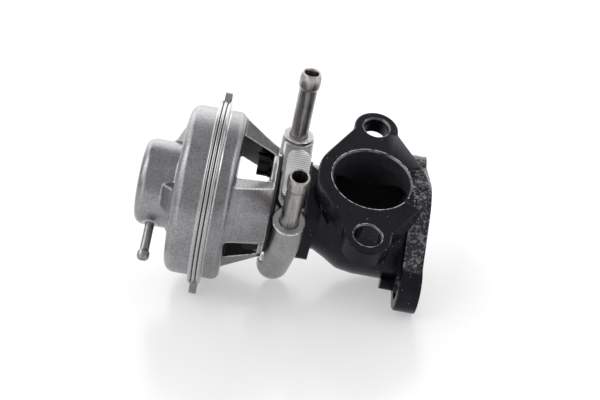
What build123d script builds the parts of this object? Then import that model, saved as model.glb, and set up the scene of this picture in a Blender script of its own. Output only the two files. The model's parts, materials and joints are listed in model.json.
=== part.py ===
from build123d import *
import math
import os

# Exhaust gas recirculation valve, vacuum operated and water cooled, in millimetres.
# It is drawn in valve axes and laid in its resting pose at the end.
# Valve axes: X runs along the stem from the vacuum cap to the inlet flange,
# Z is the outward normal of the outlet port, and angles turn from Z towards Y.

# Clocking of the sub-assemblies about the stem, in degrees from the outlet normal
leg_angle = -57.0
gusset_angle = -58.0
ear_angle = 49.0
nipple_angle = -113.5
jacket_angle = 45.0

# Lengths along the stem, from the cap face to the inlet face
cap_end = -69.8
cap_depth = 16.3
drum_depth = 11.3
rim_length = 5.0
ring_length = 7.5
leg_length = 14.0
foot_thick = 2.5
insulator = 1.2
jacket_thick = 12.7
gasket = 0.8
base_thick = 5.0
outlet_offset = 24.8
body_length = 42.2
inlet_thick = 9.0

# Vacuum actuator
wall = 2.2
cap_r = 18.7
cap_round = 4.0
drum_r = 36.5
drum_round = 4.5
gusset_width = 9.4
gusset_flare = 3.2
gusset_rise = 5.0
gusset_margin = 5.0
rim_width = 3.5
rim_groove = 0.6
rim_groove_depth = 0.5
lip = 0.9
lip_cover = 1.6
lip_gap = 0.15
cover_flange = 1.8
ring_step = 0.1
ring_round = 3.2
ring_wall = 2.4
ear_rise = 0.6
ear_r = 3.5
ear_root = 16.0
ear_hole_r = 1.5
leg_count = 3
leg_outer_half = 11.7
leg_inner_half = 14.0
leg_top_inset = 0.9
leg_root = 1.6
leg_top_thick = 9.5
leg_foot_rise = 1.9
leg_foot_thick = 4.2
floor_thick = 2.6
vent_r = 9.0
foot_r = 22.2
foot_round = 0.8

# Vacuum nipple
nipple_offset = 7.6
nipple_od = 4.0
nipple_id = 2.2
nipple_bead_od = 5.3
nipple_bead = 4.4
nipple_reach = 35.2

# Diaphragm stack
diaphragm_thick = 0.9
bead_thick = 1.5
bead_gap = 0.2
plate_margin = 9.3
plate_thick = 1.2
plate_drop = 3.1
fold_margin = 4.1
cup_r = 15.2
cup_height = 6.0
spring_wire = 1.8
spring_r = 12.4
spring_turns = 5.5
seat_cup_thick = 1.0

# Stem and valve head
stem_r = 3.0
stem_fit = 0.05
thread_step = 0.6
thread_fit = 0.1
nut_af = 8.0
nut_thick = 3.2
washer_r = 5.5
washer_thick = 0.8
head_r = 14.6
head_edge = 1.6
head_cone = 3.6
seat_inset = 1.0
seat_bore_r = 12.6
seat_gap = 0.12
seat_width = 4.6
rivet_r = 1.2

# Guide, seal and scraper
bush_wall = 2.5
bush_in_jacket = 3.1
bush_in_body = 16.6
bush_fit = 0.02
seal_r = 8.0
seal_thick = 4.0
retainer_thick = 0.8
shield_rise = 1.9
shield_length = 5.0
shield_grip = 3.0

# Water jacket
hub_r = 19.0
hub_shift = 5.0
top_end = (11.2, 25.2)
top_end_r = 7.25
low_end = (2.0, -16.6)
low_end_r = 7.4
jacket_edge = 0.6
upper_boss_r = 6.9
lower_boss_r = 7.2
upper_offset = -0.8
lower_offset = 0.9
upper_base = (7.1, 32.0)
upper_lean = 56.0
upper_boss = 12.0
upper_drill = 12.0
lower_base = (-20.2, -4.9)
lower_lean = 37.5
lower_drill = 14.0
lower_knee = 17.0
lower_boss = 33.8
dome_offset = -1.7
face_depth = 3.0
face_margin = 1.3
link_r = 2.4
channel_inner = 9.0
channel_outer = 11.8
channel_width = 7.0
pad_length = 21.0
pad_width = 10.8
pad_height = 0.9
pad_angle = 31.0
pad_centre = 14.5

# Coolant tubes
tube_od = 8.0
tube_wall = 0.9
tube_length = 31.5
tube_bead_rise = 0.65
tube_bead = 6.5
tube_seat = 7.0
tube_end_gap = 0.5

# Fixing screws through foot and jacket into the valve body
screw_pitch_r = 16.2
screw_r = 3.0
screw_clearance = 0.3
screw_shoulder = 1.9
screw_head = 5.0
screw_socket_af = 5.0
screw_socket = 2.8
washer_margin = 0.3
spring_washer = 1.1
head_relief = 0.5
dowel_r = 1.5
dowel_length = 5.0
dowel_pitch_r = 13.6

# Cast valve body
base_waist_r = 16.5
base_lug_r = 4.9
neck_r = 16.0
chamber_r = 23.2
neck_blend = 16.0
port_r = 16.5
port_depth = 8.0
port_core_r = 17.4
chamber_core_r = 17.6
seat_pocket_r = 16.8
seat_pocket_start = 2.0
bore_offset = 11.0
guide_boss_wall = 3.1
guide_boss_length = 12.1
outlet_height = 26.5
outlet_thick = 7.8
outlet_waist_r = 23.7
outlet_hole_r = 5.5
outlet_pitch = 63.7
outlet_flare_r = 7.0
outlet_waist_shift = 0.8
outlet_lug_r = 9.7
outlet_neck_r = 21.0
inlet_waist_r = 22.5
inlet_lug_r = 10.0
inlet_flare_r = 7.5
inlet_hole_r = 5.6
inlet_pitch = 66.0
lug_fillet = 3.0
flange_edge = 0.6
port_edge = 0.7
hole_edge = 0.6
lug_angle = -117.0
lug_pitch_r = 25.3
lug_r = 2.8
lug_length = 5.0

# Stations that follow from the lengths
shoulder = cap_end + cap_depth
rim_start = shoulder + drum_depth
rim_end = rim_start + rim_length
housing_end = rim_end + ring_length
foot_start = housing_end + leg_length
foot_end = foot_start + foot_thick
jacket_start = foot_end + insulator
jacket_middle = jacket_start + jacket_thick / 2
jacket_end = jacket_start + jacket_thick
body_start = jacket_end + gasket
outlet_station = body_start + outlet_offset
bore_start = body_start + bore_offset
inlet_start = body_start + body_length
inlet_end = inlet_start + inlet_thick
nipple_station = cap_end + nipple_offset
flange_start = rim_start + lip
flange_end = flange_start + cover_flange
seat_plane = flange_end + bead_thick
plate_station = seat_plane + plate_drop
stack_start = plate_station - diaphragm_thick - plate_thick
seat_face = inlet_start + seat_inset
head_station = seat_face - head_edge

# Radii that follow from others
rim_r = drum_r + rim_width
rim_bore_r = rim_r - lip_cover
drum_bore_r = drum_r - wall
ring_r = drum_r + ring_step
ring_bore_r = ring_r - ring_wall
ear_pitch_r = rim_r + ear_rise
plate_r = drum_bore_r - plate_margin
fold_r = drum_bore_r - fold_margin
thread_r = stem_r - thread_step
tip_r = thread_r + rivet_r
leg_foot_r = foot_r + leg_foot_rise
bush_r = stem_r + bush_wall
guide_boss_r = bush_r + guide_boss_wall
shield_r = bush_r + shield_rise
tube_id = tube_od - 2 * tube_wall
screw_hole_r = screw_r + screw_clearance
screw_head_r = screw_r + screw_shoulder
spring_washer_r = screw_head_r + washer_margin


def polar(angle, radius, station=0.0):
    """Point at an angle and radius about the stem."""
    a = math.radians(angle)
    return Vector(station, radius * math.sin(a), radius * math.cos(a))


def clock(shape, angle):
    """Turn a piece about the stem so that its Z side faces the angle."""
    return Rot(X=-angle) * shape


def cross_plane(station):
    """Sketch plane across the stem, with Y to the right and Z up."""
    return Plane(origin=(station, 0, 0), x_dir=(0, 1, 0), z_dir=(1, 0, 0))


def lathe(outline, rounds=()):
    """Turn an outline of (station, radius) points about the stem."""
    face = make_face(Polyline(*outline, close=True))
    for corner, radius in rounds:
        vertex = face.vertices().sort_by_distance((corner[0], corner[1], 0))[0]
        face = fillet(vertex, radius)
    return revolve(face, Axis.X)


def disc(start, end, radius):
    """Plain cylinder on the stem axis."""
    return extrude(cross_plane(start) * Circle(radius), end - start)


def tube_of(start, end, outer, inner):
    """Plain ring on the stem axis."""
    ring = cross_plane(start) * (Circle(outer) - Circle(inner))
    return extrude(ring, end - start)


def pill(pitch, lug_radius, waist_radius):
    """Outline of a two-hole flange: a round waist drawn out to two lugs along X."""
    lugs = [Pos(side * pitch / 2, 0) * Circle(lug_radius) for side in (-1, 1)]
    return make_hull((Circle(waist_radius) + lugs[0] + lugs[1]).edges())


def flange_outline(pitch, lug_radius, flare_radius, waist):
    """Pointed oval flange with a straight-sided lug round each of its two holes."""
    points = [Pos(side * pitch / 2, 0) * Circle(flare_radius) for side in (-1, 1)]
    outline = make_hull((waist + points[0] + points[1]).edges())
    outline += SlotCenterToCenter(pitch, 2 * lug_radius)
    corners = [
        corner for corner in outline.vertices()
        if abs(abs(corner.Y) - lug_radius) < 0.01 and abs(corner.X) < pitch / 2 - 0.5
    ]
    return fillet(corners, lug_fillet)


def rod(start, direction, length, radius):
    """Cylinder from a point along a direction."""
    plane = Plane(origin=start, z_dir=direction)
    return extrude(plane * Circle(radius), length)


# Vacuum actuator

def cover_outline(offset):
    """Half section of the cover, moved inwards by an offset."""
    return [
        (cap_end + offset, 0),
        (cap_end + offset, cap_r - offset),
        (shoulder + offset, cap_r - offset),
        (shoulder + offset, drum_r - offset),
        (flange_start, drum_r - offset),
        (flange_start, 0),
    ]


def cover_rounds(offset):
    """Corner rounds of the cover for the same offset."""
    return [
        ((cap_end + offset, cap_r - offset), cap_round - offset * 0.6),
        ((shoulder + offset, cap_r - offset), 1.5 + offset * 0.4),
        ((shoulder + offset, drum_r - offset), drum_round - offset * 0.6),
    ]


def gusset():
    """Wedge in the corner between cap and drum shoulder, wider at the shoulder."""
    root = cap_r - 1.0
    def section(station, reach, width):
        corners = [(-width / 2, root), (-width / 2, reach), (width / 2, reach), (width / 2, root)]
        return cross_plane(station) * make_face(Polyline(*corners, close=True))
    top = section(shoulder - gusset_rise, cap_r + 0.5, gusset_width)
    low = section(shoulder + 0.4, drum_r - gusset_margin, gusset_width + gusset_flare)
    return loft([top, low], ruled=True)


def actuator_cover():
    shell = lathe(cover_outline(0), cover_rounds(0))
    for k in range(leg_count):
        shell += clock(gusset(), gusset_angle + 120 * k)
    shell += tube_of(flange_start, flange_end, rim_bore_r, drum_bore_r)
    hollow = lathe(cover_outline(wall), cover_rounds(wall))
    shell -= hollow
    shell -= disc(rim_start, flange_end + 1, drum_bore_r)
    boss = rod(polar(nipple_angle, cap_r - 3, nipple_station), polar(nipple_angle, 1), 3.4, 3.6)
    shell += boss - disc(cap_end, shoulder, cap_r - wall)
    return shell - nipple_hole()


def nipple_hole():
    start = polar(nipple_angle, cap_r - 4, nipple_station)
    return rod(start, polar(nipple_angle, 1), 8, nipple_od / 2)


def vacuum_nipple():
    """Steel stub with a rolled bead behind its open end."""
    plane = Plane(
        origin=(nipple_station, 0, 0), x_dir=polar(nipple_angle, 1), z_dir=(1, 0, 0)
    )
    root = cap_r - 3.2
    tip = nipple_reach
    pipe = nipple_od / 2
    bead = nipple_bead_od / 2
    outline = [
        (root, nipple_id / 2),
        (root, pipe),
        (tip - nipple_bead, pipe),
        (tip - nipple_bead + 0.7, bead),
        (tip - 1.4, bead),
        (tip, pipe),
        (tip, nipple_id / 2),
    ]
    face = plane * make_face(Polyline(*outline, close=True))
    return revolve(face, Axis((nipple_station, 0, 0), polar(nipple_angle, 1)))


def seat_flange_r():
    """Largest seat that clears the round inside the cap."""
    return cap_r - wall - (cap_round - 0.6 * wall) - 0.2


def spring_seat():
    """Pressed steel cup that centres the return spring in the cap."""
    start = cap_end + wall
    seat = spring_r - spring_wire / 2 - 0.4
    return lathe([
        (start, seat - 6),
        (start, seat_flange_r()),
        (start + seat_cup_thick, seat_flange_r()),
        (start + seat_cup_thick, seat),
        (start + 5, seat - 0.6),
        (start + 5, seat - 1.6),
        (start + seat_cup_thick, seat - 1.2),
        (start + seat_cup_thick, seat - 6),
    ])


def leg():
    """One leg of the spider, a sector of the cone between ring and foot."""
    def section(station, outer, thick):
        side = math.sqrt(outer ** 2 - leg_outer_half ** 2)
        crown = ThreePointArc((-leg_outer_half, side), (0, outer), (leg_outer_half, side))
        walls = Polyline(
            (leg_outer_half, side),
            (leg_inner_half, side - thick),
            (-leg_inner_half, side - thick),
            (-leg_outer_half, side),
        )
        return cross_plane(station) * make_face(crown + walls)
    top = section(housing_end - leg_root, ring_r - leg_top_inset, leg_top_thick)
    low = section(foot_end, leg_foot_r, leg_foot_thick)
    return loft([top, low])


def ear(side, start, end):
    """Flange ear with its small hole left open."""
    reach = Pos(0, side * ear_pitch_r) * Circle(ear_r)
    root = Pos(0, side * (rim_r - 6)) * Rectangle(ear_root, 8)
    outline = make_hull((reach + root).edges())
    return extrude(cross_plane(start) * outline, end - start)


def lower_housing():
    outline = [
        (rim_start, drum_r + lip_gap),
        (rim_start, rim_r),
        (rim_end, rim_r),
        (rim_end, ring_r),
        (housing_end, ring_r),
        (housing_end, vent_r),
        (housing_end - floor_thick, vent_r),
        (housing_end - floor_thick, ring_bore_r),
        (seat_plane, ring_bore_r),
        (seat_plane, rim_bore_r),
        (flange_start, rim_bore_r),
        (flange_start, drum_r + lip_gap),
    ]
    rounds = [
        ((housing_end, ring_r), ring_round),
        ((rim_start, rim_r), 0.4),
        ((rim_end, rim_r), 0.5),
        ((housing_end - floor_thick, ring_bore_r), 2.2),
    ]
    shell = lathe(outline, rounds)
    for station in (rim_start + 1.5, rim_start + 3.2):
        shell -= tube_of(
            station, station + rim_groove, rim_r + 1, rim_r - rim_groove_depth
        )
    for side in (-1, 1):
        lug = ear(side, flange_start + 0.4, rim_end - 0.6)
        lug -= disc(rim_start, rim_end, rim_r - 1.0)
        shell += clock(lug, ear_angle)
    for k in range(leg_count):
        shell += clock(leg(), leg_angle + 120 * k)
    foot = [(foot_start, 0), (foot_start, foot_r), (foot_end, foot_r), (foot_end, 0)]
    shell += lathe(foot, [((foot_start, foot_r), foot_round)])
    for side in (-1, 1):
        place = polar(ear_angle, side * ear_pitch_r, rim_start)
        shell -= rod(place, (1, 0, 0), rim_end - rim_start, ear_hole_r)
    shell -= disc(foot_start - 0.1, jacket_start, seal_r + 0.3)
    for place in screw_places():
        head = Vector(foot_start - spring_washer - screw_head - 1.0, place.Y, place.Z)
        shell -= rod(head, (1, 0, 0), foot_start - head.X, spring_washer_r + head_relief)
        shell -= rod(head, (1, 0, 0), 30, screw_hole_r)
    return shell


def diaphragm():
    """Moulded rubber disc with one deep fold, thick at its clamped bead."""
    t = diaphragm_thick
    flat = plate_station - t
    return lathe([
        (flat, thread_r + thread_fit),
        (flat, plate_r),
        (flat - 1.2, plate_r + 1.6),
        (flat + 1.0, fold_r),
        (flange_end + 0.3, drum_bore_r - 0.9),
        (flange_end, drum_bore_r),
        (flange_end, rim_bore_r - bead_gap),
        (seat_plane, rim_bore_r - bead_gap),
        (seat_plane, drum_bore_r - 0.4),
        (flat + 1.6 + t, fold_r + 0.2),
        (flat - 0.6 + t, plate_r + 2.0),
        (flat + t, plate_r + 0.6),
        (flat + t, thread_r + thread_fit),
    ])


def diaphragm_cup():
    """Steel cup above the diaphragm that locates the spring."""
    base = plate_station - diaphragm_thick
    return lathe([
        (base, thread_r + thread_fit),
        (base, plate_r - 1.5),
        (base - plate_thick, plate_r - 1.5),
        (base - plate_thick, cup_r + plate_thick),
        (base - cup_height, cup_r + plate_thick),
        (base - cup_height, cup_r),
        (base - plate_thick, cup_r - 0.4),
        (base - plate_thick, thread_r + thread_fit),
    ])


def diaphragm_plate():
    """Flat steel plate below the diaphragm, with a turned rim."""
    base = plate_station
    return lathe([
        (base, thread_r + thread_fit),
        (base, plate_r),
        (base + 1.0, plate_r + 0.9),
        (base + 1.6, plate_r + 0.3),
        (base + plate_thick, plate_r - 0.6),
        (base + plate_thick, thread_r + thread_fit),
    ])


def return_spring():
    """Compression spring from the cap down to the diaphragm cup."""
    low = cap_end + wall + seat_cup_thick + spring_wire / 2 + 0.05
    high = stack_start - spring_wire / 2 - 0.05
    pitch = (high - low) / spring_turns
    path = Helix(pitch, high - low, spring_r)
    wire = Plane(origin=path @ 0, z_dir=path % 0) * Circle(spring_wire / 2)
    coil = sweep(wire, path, is_frenet=True)
    return Pos(low, 0, 0) * (Rot(Y=90) * coil)


def hexagon(start, end, across_flats):
    outline = RegularPolygon(across_flats / math.sqrt(3), 6)
    return extrude(cross_plane(start) * outline, end - start)


def stem_nut():
    end = stack_start - washer_thick
    nut = hexagon(end - nut_thick, end, nut_af)
    return nut - disc(end - nut_thick - 1, end + 1, thread_r)


def stem_washer():
    end = stack_start
    return tube_of(end - washer_thick, end, washer_r, thread_r + thread_fit)


# Stem and head

def valve_stem():
    """Ground stem, reduced for the nut at one end and riveted at the other."""
    top = stack_start - washer_thick - nut_thick - 1.2
    shoulder_end = plate_station + plate_thick
    tail = head_station + head_cone + 1.2
    stem = lathe([
        (top, 0),
        (top, thread_r - 0.4),
        (top + 0.4, thread_r),
        (shoulder_end, thread_r),
        (shoulder_end, stem_r + 1.5),
        (shoulder_end + 2.0, stem_r + 1.5),
        (shoulder_end + 2.6, stem_r),
        (head_station - 2.2, stem_r),
        (head_station - 2.2, thread_r),
        (tail, thread_r),
        (tail, tip_r),
        (tail + 0.8, tip_r - 0.5),
        (tail + 1.4, 1.6),
        (tail + 1.4, 0),
    ])
    return stem


def valve_head():
    """Poppet with a coned edge that closes on the seat ring."""
    base = head_station
    tail = base + head_cone + 1.2
    return lathe([
        (base - 2.2, thread_r),
        (base - 2.2, 5.0),
        (base - 0.8, 6.2),
        (base, head_r),
        (base + head_edge, head_r),
        (base + head_edge + head_cone - 0.6, head_r - head_cone + 0.6),
        (base + head_cone, 7.0),
        (tail, 5.2),
        (tail, thread_r),
    ])


def seat_ring():
    """Hardened ring in the inlet bore with a coned seat."""
    start = seat_face + seat_gap * math.sqrt(2)
    cone = head_r - seat_bore_r
    return lathe([
        (start, seat_pocket_r),
        (start, head_r),
        (start + cone, seat_bore_r),
        (start + seat_width, seat_bore_r),
        (start + seat_width, seat_pocket_r),
    ])


def guide_bush():
    """Long sintered bush that guides the stem in the body neck."""
    start = jacket_end - bush_in_jacket
    end = body_start + bush_in_body
    return lathe([
        (start, stem_r + stem_fit),
        (start, bush_r),
        (end - 1.0, bush_r),
        (end, bush_r - 1.0),
        (end, stem_r + stem_fit),
    ])


def scraper_shield():
    """Thin cup pressed on the bush nose to keep soot off the stem."""
    start = body_start + bush_in_body - shield_grip
    end = start + shield_length
    sheet = 0.8
    return lathe([
        (start, bush_r),
        (start, shield_r),
        (end, shield_r),
        (end, stem_r + 1.0),
        (end - sheet, stem_r + 1.0),
        (end - sheet, shield_r - sheet),
        (start + sheet, shield_r - sheet),
        (start + sheet, bush_r),
    ])


def stem_seal():
    """Rubber lip seal in the jacket hub."""
    start = jacket_start
    return lathe([
        (start, stem_r + 1.2),
        (start, seal_r),
        (start + seal_thick, seal_r),
        (start + seal_thick, stem_r + 2.4),
        (start + 2.0, stem_r + 2.0),
        (start + seal_thick - 0.4, stem_r + stem_fit),
        (start + seal_thick - 1.4, stem_r + stem_fit),
    ])


def seal_retainer():
    """Pressed washer that holds the seal in its pocket."""
    start = jacket_start - retainer_thick
    return tube_of(start, jacket_start, seal_r, stem_r + 0.6)


# Water jacket and coolant tubes

def lean(angle):
    """Direction in the jacket frame, from its front face towards its top end."""
    a = math.radians(angle)
    return Vector(0, -math.cos(a), math.sin(a))


def jacket_point(place, offset=0.0):
    return Vector(jacket_middle + offset, place[0], place[1])


def jacket_outline():
    """Hub drawn out to a rounded upper and lower end."""
    circles = Pos(hub_shift, 0) * Circle(hub_r)
    circles += Pos(*top_end) * Circle(top_end_r)
    circles += Pos(*low_end) * Circle(low_end_r)
    return make_hull(circles.edges())


def screw_places():
    """The two screws stand on the long axis of the jacket."""
    return [polar(jacket_angle, side * screw_pitch_r) for side in (1, -1)]


def tube_socket(start, angle, drill):
    """Seat for a pressed tube, with the water passage below it."""
    into = lean(angle) * -1
    seat = rod(start - into, into, tube_seat + 1, tube_od / 2)
    return seat + rod(start, into, drill, tube_id / 2)


def link_drill(start, angle, drill):
    """Cross hole from the bottom of a passage to the channel round the stem."""
    end = start - lean(angle) * (drill - tube_id / 2)
    inward = Vector(0, -end.Y, -end.Z)
    length = inward.length - (channel_inner + channel_outer) / 2
    return rod(end, inward, length, link_r)


def water_jacket():
    block = extrude(cross_plane(jacket_start) * jacket_outline(), jacket_thick)
    block = chamfer(block.edges().filter_by(Plane.YZ), jacket_edge)
    block += tube_bosses() + mill_pad()
    block -= disc(jacket_start - face_depth, jacket_start, leg_foot_r + face_margin)
    joint = offset(base_outline(), face_margin)
    block -= extrude(Pos(jacket_end, 0, 0) * joint, face_depth)
    block -= tube_of(
        jacket_middle - channel_width / 2,
        jacket_middle + channel_width / 2,
        channel_outer,
        channel_inner,
    )
    for start, angle, drill in (
        (upper_root, upper_lean, upper_drill),
        (lower_root, lower_lean, lower_drill),
    ):
        block -= tube_socket(start, angle, drill)
        block -= link_drill(start, angle, drill)
    block -= disc(jacket_start - 1, jacket_start + seal_thick, seal_r)
    block -= disc(jacket_start, jacket_end + 1, bush_r + bush_fit)
    block = clock(block, jacket_angle)
    for place in screw_places():
        start = Vector(jacket_start - 1, place.Y, place.Z)
        block -= rod(start, (1, 0, 0), jacket_thick + 2, screw_hole_r)
    for place in dowel_places():
        start = Vector(jacket_end - dowel_length / 2, place.Y, place.Z)
        block -= rod(start, (1, 0, 0), dowel_length, dowel_r)
    return block


def tube_bosses():
    """Short boss for the upper tube, and a long one that bends to a domed end."""
    upper = rod(upper_root, lean(upper_lean) * -1, upper_boss, upper_boss_r)
    down = lean(lower_lean) * -1
    knee = lower_root + down * lower_knee
    dome = lower_root + down * lower_boss + Vector(dome_offset - lower_offset, 0, 0)
    bend = dome - knee
    lower = rod(lower_root, down, lower_knee, lower_boss_r)
    lower += Pos(knee) * Sphere(lower_boss_r)
    lower += rod(knee, bend, bend.length, lower_boss_r)
    lower += Pos(dome) * Sphere(lower_boss_r)
    return upper + lower


def mill_pad():
    """Flat stadium pad on the front face between the two tube bosses."""
    normal = lean(pad_angle)
    plane = Plane(
        origin=Vector(jacket_middle, 0, 0) + normal * (pad_centre - 2),
        x_dir=lean(pad_angle + 90),
        z_dir=normal,
    )
    outline = Pos(1.0, 0) * SlotOverall(pad_length, pad_width)
    return extrude(plane * outline, 2 + pad_height)


def coolant_tube(root, angle):
    """Pressed steel tube with a hose bead at its open end."""
    direction = lean(angle)
    plane = Plane(origin=root, x_dir=direction, z_dir=(1, 0, 0))
    outer = tube_od / 2
    inner = tube_id / 2
    bead = outer + tube_bead_rise
    outline = [
        (tube_end_gap - tube_seat, inner),
        (tube_end_gap - tube_seat, outer),
        (tube_length - tube_bead - 1.2, outer),
        (tube_length - tube_bead, bead),
        (tube_length - tube_bead + 4.0, bead),
        (tube_length - 0.6, outer + 0.3),
        (tube_length, outer - 0.1),
        (tube_length, inner),
    ]
    face = plane * make_face(Polyline(*outline, close=True))
    return clock(revolve(face, Axis(root, direction)), jacket_angle)


def dowel_places():
    """Two dowels between jacket and body, across the screw line."""
    return [polar(jacket_angle + 90, side * dowel_pitch_r) for side in (1, -1)]


def dowels():
    start = jacket_end - dowel_length / 2
    pins = Part()
    for place in dowel_places():
        pins += rod(Vector(start, place.Y, place.Z), (1, 0, 0), dowel_length, dowel_r)
    return pins


# Gaskets and screws

def base_outline():
    """Outline of the joint face, drawn out to the screws."""
    sketch = pill(2 * screw_pitch_r, base_lug_r, base_waist_r)
    return cross_plane(0) * (Rot(Z=90) * sketch)


def joint_sheet(start, thick, bore, outline, with_dowels):
    sheet = extrude(Pos(start, 0, 0) * outline, thick)
    sheet = clock(sheet, jacket_angle) - disc(start - 1, start + thick + 1, bore)
    for place in screw_places():
        origin = Vector(start - 1, place.Y, place.Z)
        sheet -= rod(origin, (1, 0, 0), thick + 2, screw_hole_r)
    if with_dowels:
        for place in dowel_places():
            origin = Vector(start - 1, place.Y, place.Z)
            sheet -= rod(origin, (1, 0, 0), thick + 2, dowel_r + 0.1)
    return sheet


def insulating_gasket():
    start = jacket_start - insulator
    return joint_sheet(start, insulator, seal_r + 0.3, base_outline(), False)


def body_gasket():
    start = jacket_end
    return joint_sheet(start, gasket, bush_r + 0.6, base_outline(), True)


def fixing_screws():
    """Two socket screws, foot to body."""
    seat = foot_start - spring_washer
    screws = Part()
    for place in screw_places():
        start = Vector(seat - screw_head, place.Y, place.Z)
        head = rod(start, (1, 0, 0), screw_head, screw_head_r)
        head = chamfer(head.edges().sort_by(Axis.X)[0], 0.5)
        plane = Plane(origin=start, z_dir=(1, 0, 0))
        socket = plane * RegularPolygon(screw_socket_af / math.sqrt(3), 6)
        head -= extrude(socket, screw_socket)
        end = body_start + base_thick - 0.6
        seat_point = Vector(seat, place.Y, place.Z)
        shank = rod(seat_point, (1, 0, 0), end - seat, screw_r)
        screws += head + shank
    return screws


def spring_washers():
    """Split washers under the two screw heads."""
    rings = Part()
    for place in screw_places():
        start = Vector(foot_start - spring_washer, place.Y, place.Z)
        ring = rod(start, (1, 0, 0), spring_washer, spring_washer_r)
        ring -= rod(start, (1, 0, 0), spring_washer, screw_r + 0.1)
        gap = Pos(start.X + spring_washer / 2, place.Y, place.Z + spring_washer_r)
        ring -= gap * Box(2 * spring_washer, 0.5, 2 * spring_washer_r)
        rings += ring
    return rings


# Cast valve body

def outlet_plane(height):
    """Plane across the outlet, with the lug line along X of the sketch."""
    return Plane(origin=(outlet_station, 0, height), x_dir=(0, 1, 0), z_dir=(0, 0, 1))


def outlet_flange():
    waist = Pos(0, -outlet_waist_shift) * Circle(outlet_waist_r)
    outline = flange_outline(outlet_pitch, outlet_lug_r, outlet_flare_r, waist)
    slab = extrude(outlet_plane(outlet_height - outlet_thick) * outline, outlet_thick)
    return chamfer(slab.faces().sort_by(Axis.Z)[-1].edges(), flange_edge)


def inlet_flange():
    waist = Circle(inlet_waist_r)
    outline = flange_outline(inlet_pitch, inlet_lug_r, inlet_flare_r, waist)
    slab = extrude(cross_plane(inlet_start) * outline, inlet_thick)
    return chamfer(slab.faces().sort_by(Axis.X)[0].edges(), flange_edge)


def casting():
    start = body_start
    neck = start + base_thick
    core = lathe(
        [
            (start, 0),
            (start, neck_r),
            (neck + 1.5, neck_r),
            (neck + neck_blend * 0.42, neck_r + 2.6),
            (neck + neck_blend * 0.8, chamber_r - 1.0),
            (neck + neck_blend * 1.25, chamber_r),
            (inlet_start + 1, chamber_r),
            (inlet_start + 1, 0),
        ],
        [
            ((neck + neck_blend * 0.42, neck_r + 2.6), 6.0),
            ((neck + neck_blend * 0.8, chamber_r - 1.0), 8.0),
        ],
    )
    base = clock(extrude(Pos(start, 0, 0) * base_outline(), base_thick), jacket_angle)
    riser = extrude(outlet_plane(0) * Circle(outlet_neck_r), outlet_height - 1)
    return core + base + riser + outlet_flange() + inlet_flange()


def cast_lug():
    """Small lug under the chamber, run into the inlet flange."""
    place = polar(lug_angle, lug_pitch_r, inlet_start - lug_length)
    return rod(place, (1, 0, 0), lug_length + 1, lug_r)


def mouth_cut(plane, radius, depth, edge):
    """Round hole from a face inwards, with a small chamfer at its mouth."""
    hole = extrude(plane * Circle(radius), -depth)
    hole += extrude(plane * Circle(radius), 1)
    return hole + plane * Pos(0, 0, -edge / 2) * Cone(radius, radius + edge, edge)


def valve_body():
    body = casting()
    boss_end = body_start + guide_boss_length
    outlet = outlet_plane(outlet_height)
    inlet = cross_plane(inlet_end)
    pocket = inlet_start - seat_pocket_start
    body -= disc(bore_start, pocket, chamber_core_r)
    body -= mouth_cut(inlet, seat_pocket_r, inlet_end - pocket, port_edge)
    body -= extrude(outlet_plane(0) * Circle(port_core_r), outlet_height - port_depth)
    body -= mouth_cut(outlet, port_r, port_depth, port_edge)
    body += disc(body_start + 1, boss_end, guide_boss_r)
    body -= disc(body_start - 1, boss_end + 1, bush_r)
    body += cast_lug()
    for side in (-1, 1):
        place = Pos(side * outlet_pitch / 2, 0)
        body -= mouth_cut(outlet * place, outlet_hole_r, outlet_thick + 1, hole_edge)
        place = Pos(side * inlet_pitch / 2, 0)
        body -= mouth_cut(inlet * place, inlet_hole_r, inlet_thick + 1, hole_edge)
    for place in screw_places():
        start = Vector(body_start - 1, place.Y, place.Z)
        body -= rod(start, (1, 0, 0), base_thick + 1, screw_r)
    for place in dowel_places():
        start = Vector(body_start - 1, place.Y, place.Z)
        body -= rod(start, (1, 0, 0), 1 + dowel_length / 2 - gasket, dowel_r)
    return body


# Resting pose

def laid_down():
    """The part lies on a lug and the waist of the inlet flange and on the housing rim."""
    half = inlet_pitch / 2
    edge = math.degrees(math.acos((inlet_waist_r - inlet_lug_r) / half))
    roll = 90 - edge
    run = inlet_end - rim_end
    slope = math.degrees(math.atan2(rim_r - inlet_waist_r, run))
    return Rot(Y=slope) * Rot(X=roll)


upper_root = jacket_point(upper_base, upper_offset)
lower_root = jacket_point(lower_base, lower_offset)

nodes = {
    "actuator_cover": actuator_cover(),
    "vacuum_nipple": vacuum_nipple(),
    "spring_seat": spring_seat(),
    "return_spring": return_spring(),
    "diaphragm": diaphragm(),
    "diaphragm_cup": diaphragm_cup(),
    "diaphragm_plate": diaphragm_plate(),
    "stem_nut": stem_nut(),
    "stem_washer": stem_washer(),
    "lower_housing": lower_housing(),
    "valve_stem": valve_stem(),
    "valve_head": valve_head(),
    "seat_ring": seat_ring(),
    "guide_bush": guide_bush(),
    "scraper_shield": scraper_shield(),
    "stem_seal": stem_seal(),
    "seal_retainer": seal_retainer(),
    "water_jacket": water_jacket(),
    "upper_coolant_tube": coolant_tube(upper_root, upper_lean),
    "lower_coolant_tube": coolant_tube(lower_root, lower_lean),
    "insulating_gasket": insulating_gasket(),
    "body_gasket": body_gasket(),
    "dowels": dowels(),
    "fixing_screws": fixing_screws(),
    "spring_washers": spring_washers(),
    "valve_body": valve_body(),
}

pose = laid_down()
laid = {name: pose * shape for name, shape in nodes.items()}
whole = Compound([solid for shape in laid.values() for solid in shape.solids()])
box = whole.bounding_box()
centre = box.center()
home = Pos(-centre.X, -centre.Y, -box.min.Z)

os.makedirs("parts", exist_ok=True)
for name, shape in laid.items():
    export_step(home * shape, f"parts/{name}.step")
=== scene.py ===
import json
import math

import bpy
import numpy
from mathutils import Euler, Matrix, Vector


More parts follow.
